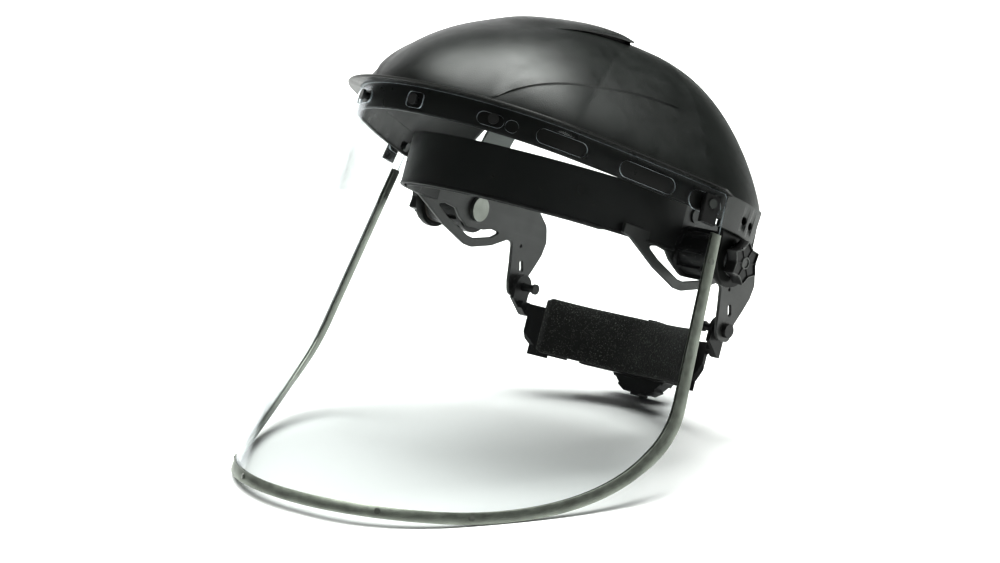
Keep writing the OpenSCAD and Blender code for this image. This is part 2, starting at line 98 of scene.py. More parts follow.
def plan(s, offset):
    """Point of the rim in plan at length s from the middle, moved outward by the offset."""
    a, t = abs(s), turn(abs(s))
    front = arc_step((0, 0), R_FRONT, 0, TURN_FRONT)
    if a < S_FRONT:
        p = arc_step((0, 0), R_FRONT, 0, t)
    elif a < S_SIDE:
        p = arc_step(front, R_SIDE, TURN_FRONT, t)
    else:
        side = arc_step(front, R_SIDE, TURN_FRONT, TURN_FRONT + TURN_SIDE)
        p = arc_step(side, R_REAR, TURN_FRONT + TURN_SIDE, t)
    x, y = p[0] + offset * math.sin(t), p[1] - offset * math.cos(t)
    return (math.copysign(1, s) * x if s else x, y)


def flare(s):
    """Outward lean of the window and the skirt at rim length s."""
    return FLARE_FRONT + (FLARE_SIDE - FLARE_FRONT) * min(1, abs(s) / HALF_WIDTH) ** FLARE_POWER


def sheet(s, d, offset):
    """Point of the window at length s and depth d, moved outward by the offset."""
    lean = flare(s)
    x, y = plan(s, offset + d * math.sin(lean))
    return (x, y, -d * math.cos(lean))


def sheet_depth(s):
    """Depth of the window's lower edge at length s."""
    u = max(0.0, abs(s) - (HALF_WIDTH - CORNER_W)) / CORNER_W
    return SHEET_H - CORNER_H * (1 - math.sqrt(max(0.0, 1 - u * u)))


def dome_foot(s):
    """Foot of the dome in plan, a little inside the rim and more so toward the rear."""
    return plan(s, -1 - 1.5 * (abs(s) / S_END) ** 2)


def dome_power(s):
    """Exponent of the dome's rise: round at the front, drawn in at the sides."""
    return 1 + 0.75 * math.sin(turn(s) * 0.93) ** 2


def dome(s, lift):
    """Point of the dome above rim length s; lift runs from 0 at the rim to 90 degrees at the top."""
    x, y = dome_foot(s)
    c, k = math.cos(math.radians(lift)), math.sin(math.radians(lift))
    return (x * c, DOME_BACK + (y - DOME_BACK) * c, DOME_H * k ** dome_power(s))


FOOT_S = np.linspace(-S_END, S_END, 469)
FOOT = np.array([dome_foot(s) for s in FOOT_S])
FOOT_BEARING = np.unwrap(np.arctan2(FOOT[:, 0], DOME_BACK - FOOT[:, 1]))


def dome_z(x, y):
    """Height of the dome over a point of the plan."""
    s = float(np.interp(math.atan2(x, DOME_BACK - y), FOOT_BEARING, FOOT_S))
    foot_x, foot_y = dome_foot(s)
    c = min(1.0, math.hypot(x, y - DOME_BACK) / math.hypot(foot_x, foot_y - DOME_BACK))
    return DOME_H * math.sqrt(1 - c * c) ** dome_power(s)


def ease(a, b, x):
    """Smooth step from 0 at a to 1 at b."""
    t = min(1.0, max(0.0, (x - a) / (b - a)))
    return t * t * (3 - 2 * t)


def steps(a, b, n):
    """The n + 1 values from a to b, evenly spaced."""
    return [a + (b - a) * i / n for i in range(n + 1)]


def arc(x, y, r, a0, a1, n):
    return [(x + r * math.cos(a), y + r * math.sin(a)) for a in steps(a0, a1, n)]


def circle(x, y, r):
    return arc(x, y, r, 0, 2 * math.pi, 28)[:-1]


# ---------------------------------------------------------------- mesh helpers
def grid_faces(rows, cols, close=False):
    """Quads between rows of points, cols points in a row."""
    last = cols if close else cols - 1
    return [(r * cols + c, r * cols + (c + 1) % cols, (r + 1) * cols + (c + 1) % cols, (r + 1) * cols + c)
            for r in range(rows - 1) for c in range(last)]


class Shape:
    """Vertices and faces in millimetres, gathered part by part; a face's mark is its material's number."""

    def __init__(self):
        self.verts, self.faces, self.marks = [], [], []

    def add(self, verts, faces, mark=0, matrix=None):
        start = len(self.verts)
        if matrix is not None:
            verts = [tuple(matrix @ Vector(v)) for v in verts]
        self.verts += [tuple(v) for v in verts]
        self.faces += [tuple(i + start for i in f) for f in faces]
        self.marks += [mark] * len(faces)
        return self

    def sweep(self, rings):
        """Skin over closed rings of points, capped at both ends."""
        n = len(rings[0])
        verts = [p for ring in rings for p in ring]
        caps = [tuple(reversed(range(n))), tuple(len(verts) - n + i for i in range(n))]
        return self.add(verts, grid_faces(len(rings), n, close=True) + caps)

    def merge(self, other, matrix=None, mark=None):
        """Takes in another shape with its marks, or with one mark throughout."""
        start = len(self.faces)
        self.add(other.verts, other.faces, 0, matrix)
        self.marks[start:] = list(other.marks) if mark is None else [mark] * len(other.faces)
        return self


def build(name, shape, matrix, materials, body=None, replaces=(), crease=32):
    """Makes a piece from a shape; edges sharper than the crease angle stay sharp in the shading."""
    mesh = bpy.data.meshes.new(name)
    mesh.from_pydata([matrix @ Vector(v) for v in shape.verts], [], shape.faces)
    for m in materials:
        mesh.materials.append(m)
    mesh.polygons.foreach_set("material_index", shape.marks)
    mesh.validate()
    obj = bpy.data.objects.new(name, mesh)
    bpy.context.scene.collection.objects.link(obj)
    point_outward(mesh)
    mesh.shade_smooth()
    if crease:
        mesh.set_sharp_from_angle(angle=math.radians(crease))
    if body:
        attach(obj, body)
    if replaces:
        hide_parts(*replaces)
    return obj


def point_outward(mesh):
    """Turns every face outward."""
    bm = bmesh.new()
    bm.from_mesh(mesh)
    bmesh.ops.recalc_face_normals(bm, faces=bm.faces)
    bm.to_mesh(mesh)
    bm.free()


def bevel(obj, width_mm):
    mod = obj.modifiers.new("edge", "BEVEL")
    mod.width = width_mm * MM
    mod.segments = 2
    mod.limit_method = "ANGLE"
    mod.angle_limit = math.radians(35)
    mod.harden_normals = False


def rounded(points, radius):
    """Closed outline with its corners rounded; radius is one number or one per corner."""
    out, n = [], len(points)
    for i, p in enumerate(points):
        r = radius[i] if isinstance(radius, (list, tuple)) else radius
        p, a, b = Vector(p), Vector(points[i - 1]), Vector(points[(i + 1) % n])
        u, v = (a - p), (b - p)
        lu, lv = u.length, v.length
        u, v = u / lu, v / lv
        half = math.acos(max(-1, min(1, u.dot(v)))) / 2
        if r <= 0 or half > math.radians(88):
            out.append(tuple(p))
            continue
        cut = min(r / math.tan(half), lu * 0.48, lv * 0.48)
        p0, p1 = p + u * cut, p + v * cut
        for t in steps(0, 1, 5):
            q = p0 * (1 - t) ** 2 + p * 2 * t * (1 - t) + p1 * t ** 2
            out.append(tuple(q))
    return out


def box(x0, y0, x1, y1):
    return [(x0, y0), (x1, y0), (x1, y1), (x0, y1)]


def plate(outline, holes, low, high, edge):
    """A flat plate in x-y with holes, from z low to high, its edges rounded."""
    curve = bpy.data.curves.new("plate", "CURVE")
    curve.dimensions = "2D"
    curve.fill_mode = "BOTH"
    curve.extrude = (high - low) / 2 - edge
    curve.bevel_depth = edge
    curve.bevel_resolution = 1
    curve.offset = -edge
    for loop in [outline, *holes]:
        spline = curve.splines.new("POLY")
        spline.points.add(len(loop) - 1)
        for point, (x, y) in zip(spline.points, loop):
            point.co = (x, y, 0, 1)
        spline.use_cyclic_u = True
    obj = bpy.data.objects.new("plate", curve)
    bpy.context.scene.collection.objects.link(obj)
    bpy.context.view_layer.update()
    mesh = obj.evaluated_get(bpy.context.evaluated_depsgraph_get()).to_mesh()
    shape = Shape().add([(v.co.x, v.co.y, v.co.z + (low + high) / 2) for v in mesh.vertices],
                        [tuple(p.vertices) for p in mesh.polygons])
    bpy.data.objects.remove(obj)
    bpy.data.curves.remove(curve)
    return shape


def lathe(profile, n):
    """Turns (radius, height) points about z in n steps."""
    return Shape().sweep([[(*p, h) for p in arc(0, 0, r, 0, 2 * math.pi, n)[:-1]] for r, h in profile])


def cut(obj, cutter_shape, matrix):
    """Takes a shape out of a piece."""
    cutter = build("cutter", cutter_shape, matrix, [])
    mod = obj.modifiers.new("cut", "BOOLEAN")
    mod.operation, mod.solver, mod.object = "DIFFERENCE", "EXACT", cutter
    bake_modifiers(obj)
    bpy.data.objects.remove(cutter)


def bake_modifiers(obj):
    """Puts the result of a piece's modifiers in its mesh."""
    deps = bpy.context.evaluated_depsgraph_get()
    bpy.context.view_layer.update()
    mesh = bpy.data.meshes.new_from_object(obj.evaluated_get(deps), depsgraph=deps)
    old = obj.data
    obj.modifiers.clear()
    obj.data = mesh
    bpy.data.meshes.remove(old)


def join(pieces, name):
    """Makes one piece of several."""
    first = pieces[0]
    with bpy.context.temp_override(active_object=first, object=first, selected_objects=pieces,
                                   selected_editable_objects=pieces):
        bpy.ops.object.join()
    first.name = name
    return first


# Lays a plate on a side of the head: its x, y and z become y, z and x.
TO_X = Matrix(((0, 0, 1, 0), (1, 0, 0, 0), (0, 1, 0, 0), (0, 0, 0, 1)))


# ---------------------------------------------------------------- materials
def nodes_of(name):
    """A new material with its tree, its shader and its output."""
    m = bpy.data.materials.new(name)
    m.use_nodes = True
    tree = m.node_tree
    return m, tree, tree.nodes["Principled BSDF"], tree.nodes["Material Output"]


def node(tree, kind, inputs=None, **props):
    """A node with its properties set and its inputs either set or linked."""
    n = tree.nodes.new(kind)
    for k, v in props.items():
        setattr(n, k, v)
    for k, v in (inputs or {}).items():
        if isinstance(v, bpy.types.NodeSocket):
            tree.links.new(v, n.inputs[k])
        else:
            n.inputs[k].default_value = v
    return n


def place(tree):
    """Coordinates that stay with the object."""
    return node(tree, "ShaderNodeTexCoord").outputs["Object"]


def noise(tree, size_mm, detail):
    return node(tree, "ShaderNodeTexNoise", {"Vector": place(tree), "Scale": 1000 / size_mm,
                                             "Detail": detail, "Roughness": 0.6}).outputs["Fac"]


def spread(tree, socket, low, high, a, b):
    """Carries the range from low to high over to the range from a to b."""
    return node(tree, "ShaderNodeMapRange", {"Value": socket, "From Min": low, "From Max": high,
                                             "To Min": a, "To Max": b}).outputs["Result"]


def calculate(tree, a, b, operation="MULTIPLY"):
    return node(tree, "ShaderNodeMath", {0: a, 1: b}, operation=operation).outputs[0]


def shade(colour, factor, lift=0.0):
    return [min(1, c * factor + lift) for c in colour]


def blend_colour(tree, share, a, b):
    """Mix of two colours, of which the first may be another node's output."""
    first = a if isinstance(a, bpy.types.NodeSocket) else (*a, 1)
    return node(tree, "ShaderNodeMix", {"Factor": share, "A": first, "B": (*b, 1)},
                data_type="RGBA").outputs["Result"]


def finish(tree, bsdf, colour, rough, height, strength, depth_mm, invert=False):
    """Sets a shader's colour and roughness, and its relief from a height."""
    tree.links.new(colour, bsdf.inputs["Base Color"])
    if isinstance(rough, bpy.types.NodeSocket):
        tree.links.new(rough, bsdf.inputs["Roughness"])
    else:
        bsdf.inputs["Roughness"].default_value = rough
    relief = node(tree, "ShaderNodeBump", {"Strength": strength, "Distance": depth_mm * MM,
                                           "Height": height}, invert=invert)
    tree.links.new(relief.outputs["Normal"], bsdf.inputs["Normal"])


def moulded(name, colour, rough, grain, wear_and_highlight, spec=0.5):
    """Moulded plastic: grain of a size in mm and a strength, faint flow marks, edges lighter, partly as
    rubbed wear and partly as a painted highlight.
    """
    m, tree, bsdf, _ = nodes_of(name)
    flow = spread(tree, noise(tree, 45, 2), 0.35, 0.65, 0, 1)
    base = blend_colour(tree, flow, shade(colour, 0.82), shade(colour, 1.2, 0.002))
    # Sharp edges are painted lighter: partly rubbed wear, partly a painted highlight.
    edges = node(tree, "ShaderNodeNewGeometry").outputs["Pointiness"]
    rubbed_and_highlit = blend_colour(tree, spread(tree, edges, 0.52, 0.62, 0, wear_and_highlight), base, shade(colour, 2.4, 0.02))
    uneven = spread(tree, noise(tree, 9, 4), 0.3, 0.7, rough - 0.04, rough + 0.05)
    grain_mm, strength = grain
    finish(tree, bsdf, rubbed_and_highlit, uneven, noise(tree, grain_mm, 2), strength, 0.2)
    bsdf.inputs["Specular IOR Level"].default_value = spec
    return m


def metal(name, colour, rough, line_mm, stretch):
    """Dull metal, slightly stained, with fine drawn lines that are longer along z by the stretch."""
    m, tree, bsdf, _ = nodes_of(name)
    stain = spread(tree, noise(tree, 12, 4), 0.3, 0.7, 0, 1)
    base = blend_colour(tree, stain, shade(colour, 0.8), shade(colour, 1.15))
    uneven = spread(tree, noise(tree, 3, 3), 0.3, 0.7, rough - 0.06, rough + 0.08)
    drawn = node(tree, "ShaderNodeMapping", {"Vector": place(tree), "Scale": (1, 1, 1 / stretch)})
    lines = node(tree, "ShaderNodeTexNoise", {"Vector": drawn.outputs["Vector"],
                                              "Scale": 1000 / line_mm, "Detail": 2})
    finish(tree, bsdf, base, uneven, lines.outputs["Fac"], 0.12, 0.1)
    bsdf.inputs["Metallic"].default_value = 0.9
    return m


def clear_sheet(name, tint, gloss):
    """Thin clear sheet: it lets light through unbent and mirrors more at grazing angles."""
    m, tree, bsdf, out = nodes_of(name)
    tree.nodes.remove(bsdf)
    see = node(tree, "ShaderNodeBsdfTransparent", {"Color": (*tint, 1)})
    smears = spread(tree, noise(tree, 30, 3), 0.35, 0.7, 0.09, 0.16)
    shine = node(tree, "ShaderNodeBsdfGlossy", {"Color": (0.95, 0.97, 1, 1), "Roughness": smears})
    facing = node(tree, "ShaderNodeLayerWeight", {"Blend": 0.5}).outputs["Facing"]
    share = spread(tree, calculate(tree, facing, 5.0, "POWER"), 0, 1, gloss, 1)
    mix = node(tree, "ShaderNodeMixShader", {0: share, 1: see.outputs["BSDF"], 2: shine.outputs["BSDF"]})
    tree.links.new(mix.outputs["Shader"], out.inputs["Surface"])
    return m


def sheet_edge(name):
    """Sawn edge of the clear sheet, which gathers light."""
    m, tree, bsdf, _ = nodes_of(name)
    saw = noise(tree, 1.2, 3)
    base = blend_colour(tree, spread(tree, saw, 0.3, 0.7, 0, 1), (0.50, 0.56, 0.60), (0.80, 0.86, 0.90))
    finish(tree, bsdf, base, 0.28, saw, 0.3, 0.1)
    bsdf.inputs["Alpha"].default_value = 0.75
    return m


def loop_foam(name, dark, fleck, loops_mm, bare):
    """Loop-faced foam: dark pile with pale loops, of which the share `bare` stays dark."""
    m, tree, bsdf, _ = nodes_of(name)
    cells = node(tree, "ShaderNodeTexVoronoi", {"Vector": place(tree), "Scale": 1000 / loops_mm,
                                                "Randomness": 1.0})
    chance = node(tree, "ShaderNodeSeparateColor", {"Color": cells.outputs["Color"]})
    pick = spread(tree, chance.outputs["Red"], bare, 1.0, 0, 1)
    centre = spread(tree, cells.outputs["Distance"], 0.1, 0.5, 1, 0)
    patchy = spread(tree, noise(tree, 14, 3), 0.3, 0.7, 0.35, 1)
    flecks = calculate(tree, calculate(tree, pick, centre), patchy)
    base = blend_colour(tree, flecks, dark, fleck)
    finish(tree, bsdf, base, 0.92, cells.outputs["Distance"], 0.5, 0.6, invert=True)
    bsdf.inputs["Sheen Weight"].default_value = 0.12
    return m


def knitted(name, colour, thread_mm):
    """Knitted cover of a foam pad."""
    m, tree, bsdf, _ = nodes_of(name)
    where = place(tree)
    waves = [node(tree, "ShaderNodeTexWave", {"Vector": where, "Scale": 160 / thread_mm, "Distortion": 1.2,
                                              "Detail": 1.0}, bands_direction=axis).outputs["Fac"]
             for axis in ("X", "Z")]
    knit = calculate(tree, *waves)
    base = blend_colour(tree, knit, shade(colour, 0.6), shade(colour, 1.6))
    finish(tree, bsdf, base, 0.9, knit, 0.4, 0.4)
    bsdf.inputs["Sheen Weight"].default_value = 0.2
    return m


CROWN_BLACK = moulded("crown_black", (0.009, 0.011, 0.0098), 0.35, grain=(0.55, 0.6), wear_and_highlight=0.15, spec=0.62)
# Darker black for the vent walls under the spine: painted shade in the vent.
VENT_SHADE = moulded("vent_painted_shade", (0.004, 0.004, 0.004), 0.7, grain=(0.6, 0.2), wear_and_highlight=0)
RIM_BLACK = moulded("rim_black", (0.006, 0.0065, 0.006), 0.3, grain=(0.8, 0.12), wear_and_highlight=0.5, spec=0.2)
BAND_BLACK = moulded("headband_black", (0.006, 0.0065, 0.006), 0.5, grain=(0.7, 0.25), wear_and_highlight=0.3, spec=0.4)
ARM_BLACK = moulded("arm_black", (0.012, 0.013, 0.012), 0.42, grain=(0.7, 0.25), wear_and_highlight=0.3, spec=0.8)
HUB_BLACK = moulded("hub_black", (0.005, 0.005, 0.005), 0.4, grain=(0.7, 0.2), wear_and_highlight=0.4, spec=0.4)
KNOB_BLACK = moulded("knob_black", (0.004, 0.004, 0.004), 0.34, grain=(0.9, 0.15), wear_and_highlight=0.6, spec=0.4)
# Lighter black painted on the knob's raised border as a highlight; the middle ring takes it too.
KNOB_HIGHLIGHT = moulded("knob_painted_highlight", (0.06, 0.063, 0.06), 0.3, grain=(0.9, 0.15), wear_and_highlight=0.6)
NAPE_BLACK = moulded("nape_black", (0.004, 0.004, 0.004), 0.4, grain=(0.8, 0.18), wear_and_highlight=0.45, spec=0.35)
STUD_BLACK = moulded("stud_black", (0.008, 0.008, 0.008), 0.3, grain=(0.8, 0.1), wear_and_highlight=0.5)
BUTTON_DARK = moulded("button_dark", (0.03, 0.033, 0.031), 0.38, grain=(0.8, 0.12), wear_and_highlight=0.4)
STRAP_GREY = moulded("strap_grey", (0.11, 0.122, 0.115), 0.48, grain=(0.8, 0.2), wear_and_highlight=0.25)
FIBRE = moulded("friction_fibre", (0.06, 0.05, 0.042), 0.8, grain=(0.35, 0.6), wear_and_highlight=0.1)
BINDING = metal("aluminium_binding", (0.30, 0.32, 0.285), 0.42, line_mm=0.6, stretch=6)
RIVET = metal("rivet_metal", (0.25, 0.26, 0.24), 0.38, line_mm=0.4, stretch=6)
STEEL = metal("steel", (0.55, 0.56, 0.57), 0.3, line_mm=0.3, stretch=1)
SPRING = metal("spring_steel", (0.6, 0.61, 0.62), 0.25, line_mm=0.3, stretch=4)
BRASS = metal("brass_insert", (0.72, 0.52, 0.24), 0.3, line_mm=0.3, stretch=3)
CLEAR = clear_sheet("clear_sheet", tint=(0.965, 0.972, 0.972), gloss=0.035)
CLEAR_EDGE = sheet_edge("clear_sheet_edge")
LOOPS = loop_foam("nape_foam", (0.009, 0.0095, 0.008), (0.2, 0.215, 0.19), loops_mm=0.9, bare=0.3)
KNIT = knitted("brow_foam", (0.018, 0.019, 0.0185), thread_mm=0.9)


# ---------------------------------------------------------------- crown
LIFT_END = 89.6
SPINE_FRONT, SPINE_REAR, SPINE_RIM, VENT_DEEP, VENT_IN = 40, 133, 0.9, 1.0, 3
SKIRT_TOP, SKIRT_LOW, TAB_LOW = 1.0, 14, 17.5
EAR_IN, EAR_OUT, EAR_R, EAR_BORE = 105, 109, 15, 3.2
TAB_SLOTS = ((216.5, 8.5, 5.5, 4.2), (224.5, 9.5, 5.0, 4.2))   # place on the rim, depth, length, height


def wing_line(s):
    """The line where the side wing of the dome begins, in degrees of lift."""
    return max(4.0, 42 * (1 - math.exp(-(abs(s) - 41) / 34)))


def wing_step(s):
    """How far the dome above the wing line stands out."""
    return 0.9 * ease(42, 52, abs(s)) * (1 - ease(140, 180, abs(s)))


def dome_row(s, lift, raised):
    """Point of the dome, raised square to its surface."""
    p = Vector(dome(s, lift))
    if raised <= 0:
        return tuple(p)
    up = Vector(dome(s, lift + 0.5)) - p
    along = Vector(dome(s + 1, lift)) - Vector(dome(s - 1, lift))
    return tuple(p + along.cross(up).normalized() * raised)


def dome_shape():
    """The dome with a small step along the wing line, which then fades toward the top."""
    below, above, gap, fade_from, fade_to = 24, 58, 0.28, 4, 22
    cols = []
    for s in steps(-S_END, S_END, 234):
        line, step = wing_line(s), wing_step(s)
        lifts = [(line - gap) * i / below for i in range(below + 1)]
        uppers = [(line + gap) + (LIFT_END - line - gap) * (i / above) for i in range(above + 1)]
        cols.append([dome_row(s, v, 0) for v in lifts]
                    + [dome_row(s, v, step * (1 - ease(line + fade_from, line + fade_to, v)))
                       for v in uppers])
    rows = len(cols[0])
    return Shape().add([col[r] for r in range(rows) for col in cols], grid_faces(rows, len(cols)))


def spine_half(y):
    """Half of the spine's width."""
    return 19 + 6 * ease(60, 125, y)


def spine_edge(y):
    """How square the spine's edge has become."""
    return ease(68, 96, y)


def spine_point(y, u, drop=0.0):
    """Point of the spine's top, with u from -1 to 1 across it: soft at the front, square at the rear."""
    x = u * spine_half(y)
    height = 1.9 * ease(40, 68, y) + 1.6 * ease(84, 128, y)
    soft, square = (1 - u * u) ** 2, 1 - 0.1 * u * u
    h = height * ((1 - spine_edge(y)) * soft + spine_edge(y) * square)
    return (x, y, dome_z(x, y) + h - drop)


def spine_shape():
    """Raised spine: it rises softly at the front and ends in open vents at the rear."""
    top = Shape()
    ys, us = steps(SPINE_FRONT, SPINE_REAR, 62), steps(-1, 1, 28)
    top.add([spine_point(y, u) for y in ys for u in us], grid_faces(len(ys), len(us)))
    for side in (-1, 1):
        wall = []
        for y in ys:
            rim = SPINE_RIM * spine_edge(y)
            x_in = side * (spine_half(y) - 3.5 * spine_edge(y))
            wall += [spine_point(y, side), spine_point(y, side, rim),
                     (x_in, y, spine_point(y, side)[2] - rim), (x_in, y, dome_z(x_in, y) - VENT_DEEP)]
        quads = grid_faces(len(ys), 4)
        # The rim's drop keeps the crown's black; the walls under it take the second material, painted darker
        # as shade.
        top.add(wall, [q for q in quads if q[0] % 4 == 0])
        top.add(wall, [q for q in quads if q[0] % 4 != 0], 1)
    end, inner = SPINE_REAR, SPINE_REAR - VENT_IN
    rim = [spine_point(end, u) for u in us]
    low = [spine_point(end, u, VENT_DEEP) for u in us]
    back = [(x, inner, z - 0.2) for x, _, z in low]
    base = [(x, inner, dome_z(x, inner) - VENT_DEEP) for x, _, _ in low]
    top.add(rim + low, grid_faces(2, len(us)))
    # The vent's back takes the same painted shade.
    return top.add(low + back + base, grid_faces(3, len(us)), 1)


def brim_shape():
    """Lip round the front of the rim, run out to nothing at both ends."""
    rings = []
    for s in steps(-198, 198, 198):
        w = 8 - 7.4 * ease(183, 198, abs(s))
        section = [(-3.5, 2.1), (w - 1.3, 1.9), (w - 0.45, 1.65), (w, 1.05), (w - 0.35, 0.4),
                   (w - 1.2, 0.05), (-3.5, 0.0)]
        rings.append([(*plan(s, off), z) for off, z in section])
    return Shape().sweep(rings)


def skirt_shape(s0, s1, n, low):
    """Wall that hangs from the rim behind the window, from one rim length to another."""
    rings = []
    for s in steps(s0, s1, n):
        lean = flare(s) * (1 - ease(185, 200, abs(s)))
        section = [(-1.5, -SKIRT_TOP), (-1.5, low - 0.9), (-1.8, low - 0.3), (-2.3, low),
                   (-3.4, low), (-3.8, low - 0.3), (-4.0, low - 0.9), (-4.0, -SKIRT_TOP)]
        rings.append([(*plan(s, off + d * math.sin(lean)), -d * math.cos(lean))
                      for off, d in section])
    return Shape().sweep(rings)


def tab_slots(side):
    """Blocks that cut the slots of one rear tab."""
    slots = Shape()
    for s, d, length, height in TAB_SLOTS:
        outline = rounded(box(-length / 2, -height / 2, length / 2, height / 2), height * 0.45)
        block = plate(outline, [], -7, 7, 0.1)
        x, y = plan(side * s, -2.6)
        at = (Matrix.Translation((x, y, -d)) @ Matrix.Rotation(turn(side * s), 4, "Z")
              @ Matrix.Rotation(math.radians(90), 4, "X"))
        slots.merge(block, at)
    return slots


def ear_shape():
    """The ear round the tilt bolt, in y and z from the tilt axis."""
    outline = [(-24, 30), (-15, 4), *arc(0, 0, EAR_R, math.pi, 2 * math.pi, 20), (12, 20), (10, 30)]
    return plate(outline, [circle(0, 0, EAR_BORE)], EAR_IN, EAR_OUT, 0.5)


def make_crown():
    shell = build("crown", dome_shape(), CROWN, [CROWN_BLACK, VENT_SHADE, RIM_BLACK], crease=24)
    solid = shell.modifiers.new("wall", "SOLIDIFY")
    solid.thickness, solid.offset = CROWN_T * MM, -1
    bake_modifiers(shell)
    parts = [shell,
             build("spine", spine_shape(), CROWN, [CROWN_BLACK, VENT_SHADE], crease=30),
             build("brim", brim_shape(), CROWN, [RIM_BLACK], crease=50),
             build("skirt", skirt_shape(-197, 197, 197, SKIRT_LOW), CROWN, [RIM_BLACK], crease=50)]
    for side, mirror in ((-1, MIRROR), (1, Matrix.Identity(4))):
        tab = build("tab", skirt_shape(side * 196, side * 233.5, 24, TAB_LOW), CROWN, [CROWN_BLACK],
                    crease=50)
        cut(tab, tab_slots(side), CROWN)
        ear = build("ear", ear_shape(), CROWN @ mirror @ Matrix.Translation(CROWN_PIVOT) @ TO_X,
                    [RIM_BLACK], crease=40)
        parts += [tab, ear]
    crown = join(parts, "crown")
    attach(crown, "visor")
    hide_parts("crown_shell")


# ---------------------------------------------------------------- window
WINDOW_TOP, TOP_CORNER, CLEARANCE = 0.3, 1.5, 2


def corner_point(t):
    """Point of the window's big lower corner, from its side at 0 to its bottom at a right angle."""
    return (HALF_WIDTH - CORNER_W + CORNER_W * math.cos(t), SHEET_H - CORNER_H + CORNER_H * math.sin(t))


def slot_loop(s, d, length, height):
    r, reach, quarter = height / 2, (length - height) / 2, math.pi / 2
    return (arc(s + reach, d, r, -quarter, quarter, 10)
            + arc(s - reach, d, r, quarter, 3 * math.pi / 2, 10))


def window_loops():
    """Outline and holes of the window, in length along the rim and depth."""
    right = [(HALF_WIDTH, d) for d in steps(WINDOW_TOP + TOP_CORNER, SHEET_H - CORNER_H, 14)]
    corner = [corner_point(t) for t in steps(0, math.pi / 2, 44)[1:]]
    half = [(HALF_WIDTH - TOP_CORNER, WINDOW_TOP), *right, *corner]
    left = [(-s, d) for s, d in reversed(half)]
    top = [(s, WINDOW_TOP) for s in steps(-HALF_WIDTH + 4, HALF_WIDTH - 4, 96)]
    holes = [rounded(box(-5.5, 3.2, 5.5, 11.8), 2.6)]
    for side in (-1, 1):
        # A slot of two lobes, drawn as a big one and a small one to its rear, then three plain slots.
        holes += [slot_loop(side * s, d, length, height) for s, d, length, height in (
            (46.4, 8.2, 15, 7), (58.4, 8.5, 7.4, 6.6), (87, 8, 30, 8), (141, 8.5, 36, 9),
            (180, 9.5, 22, 11))]
    return half + left + top, holes


def inside(p, loop):
    """Whether a point lies within a closed outline."""
    hit = False
    for (x0, y0), (x1, y1) in zip(loop, loop[1:] + loop[:1]):
        if (y0 > p[1]) != (y1 > p[1]) and p[0] < (x1 - x0) * (p[1] - y0) / (y1 - y0) + x0:
            hit = not hit
    return hit


def near(s, d, loop):
    """Whether a point lies within 1 mm of the box round an outline."""
    margin = 1
    return all(min(p[i] for p in loop) - margin < v < max(p[i] for p in loop) + margin
               for i, v in enumerate((s, d)))


def open_edges(faces):
    """Edges that only one face has."""
    edges = {edge for f in faces for edge in zip(f, f[1:] + f[:1])}
    return [(a, b) for f in faces for a, b in zip(f, f[1:] + f[:1]) if (b, a) not in edges]


def make_window():
    outer, holes = window_loops()
    points, edges = [], []
    for loop in [outer, *holes]:
        start = len(points)
        points += [Vector(p) for p in loop]
        edges += [(start + i, start + (i + 1) % len(loop)) for i in range(len(loop))]
    for s in steps(-HALF_WIDTH + 3, HALF_WIDTH - 3, 128):
        for d in [3, 14.5, *steps(20, SHEET_H - CLEARANCE, 12)]:
            if d < sheet_depth(s) - CLEARANCE and not any(near(s, d, h) for h in holes):
                points.append(Vector((s, d)))
    flat, _, faces, _, _, _ = delaunay_2d_cdt(points, edges, [], 0, 1e-4)
    kept = []
    for f in faces:
        mid = sum((flat[i] for i in f), Vector((0, 0))) / len(f)
        if inside(mid, outer) and not any(inside(mid, h) for h in holes):
            kept.append(tuple(f))
    n = len(flat)
    front = [sheet(*p, SHEET_T / 2) for p in flat]
    back = [sheet(*p, -SHEET_T / 2) for p in flat]
    shape = Shape().add(front + back, kept + [tuple(i + n for i in reversed(f)) for f in kept])
    rim = [(b, a, a + n, b + n) for a, b in open_edges(kept)]
    shape.faces += rim
    shape.marks += [1] * len(rim)
    build("window_sheet", shape, CROWN, [CLEAR, CLEAR_EDGE], "visor", ["window"], crease=40)


# ---------------------------------------------------------------- edge binding
def binding_run():
    """Points along the window's edge and, at each, the direction inward; the sides' tops stay bare."""
    run = [(HALF_WIDTH, d, -1.0, 0.0) for d in steps(23, SHEET_H - CORNER_H, 12)]
    for t in steps(math.radians(3), math.pi / 2, 52):
        nx, ny = -CORNER_H * math.cos(t), -CORNER_W * math.sin(t)
        length = math.hypot(nx, ny)
        run.append((*corner_point(t), nx / length, ny / length))
    return run + [(-s, d, -nx, ny) for s, d, nx, ny in reversed(run[:-1])]


def make_binding():
    reach, half_t, gap, back = 5.4, 1.25, 0.55, 1
    inner_lip = [(reach, -half_t + 0.15), (reach - 0.2, -half_t), (-0.4, -half_t),
                 (-0.85, -half_t + 0.25), (-back, -half_t + 0.7)]
    outer_lip = [(k, -off) for k, off in reversed(inner_lip)]
    groove = [(reach, gap), (0.1, gap), (0.1, -gap), (reach, -gap)]
    section = inner_lip + outer_lip + groove
    rings = [[sheet(s + nx * k, d + ny * k, off) for k, off in section] for s, d, nx, ny in binding_run()]
    build("window_binding", Shape().sweep(rings), CROWN, [BINDING], "visor",
          ["edge_binding"], crease=38)


# ---------------------------------------------------------------- tilt knobs
KNOB_IN, KNOB_OUT, KNOB_FLOOR = 110.0, 117.5, 116.6
STAR_TIPS, STAR_TIP, STAR_DIP, STAR_PHASE = 6, 12.0, 9.0, math.radians(37)
RING_OUT, RING_IN, SPOKE_HALF, SINK = 3.4, 2.5, 0.35, 0.2
SPOKE_END = STAR_TIP - 2.4


